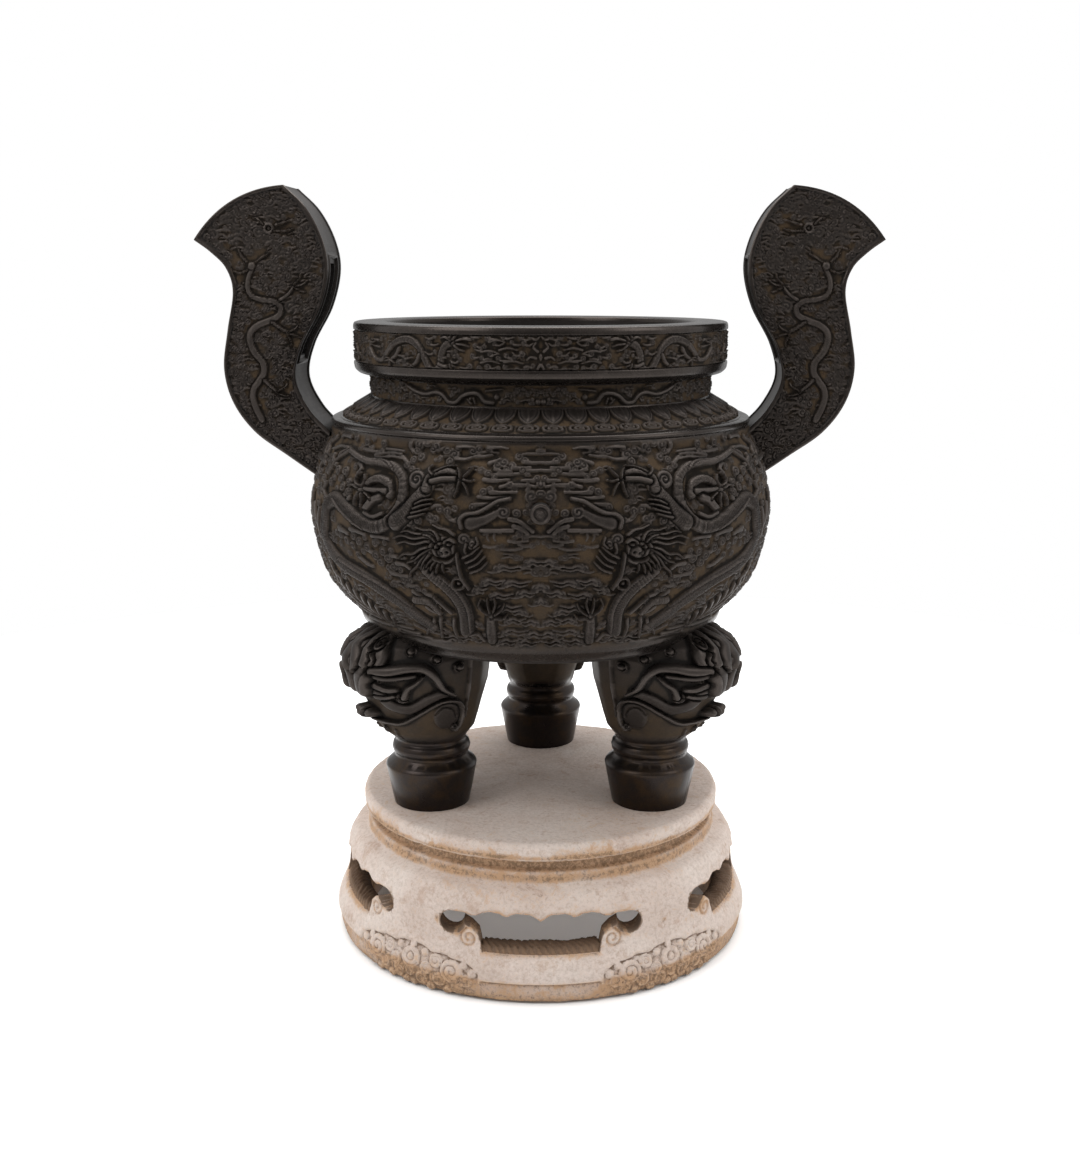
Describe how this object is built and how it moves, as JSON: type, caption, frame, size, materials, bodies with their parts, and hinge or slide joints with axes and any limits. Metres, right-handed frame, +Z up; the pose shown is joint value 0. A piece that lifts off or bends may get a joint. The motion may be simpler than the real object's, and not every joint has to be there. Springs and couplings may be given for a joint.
{
  "type": "bronze ding vessel on a marble plinth",
  "caption": "Bronze tripod ding with thick rim, bulging carved bowl, upright S-curved slotted ears and beast-mask legs, standing on a pierced round marble plinth.",
  "frame": {"origin": "centre of the plinth's underside, on the ground", "axes": "+Z up; the ears lie along X; the pearl boss on the front of the bowl faces -Y; one leg stands at the back, +Y"},
  "size_m": [1.5486, 1.0966, 1.747],
  "materials": {
    "bronze": "dark brown-black patinated cast bronze, semi-gloss on worn high parts, ochre-brown in the recesses",
    "marble": "weathered off-white marble with a pinkish cast, ochre and brown staining in hollows and at the foot"
  },
  "bodies": {
    "root": {"ding_vessel": "bronze", "marble_plinth": "marble"}
  },
  "joints": []
}
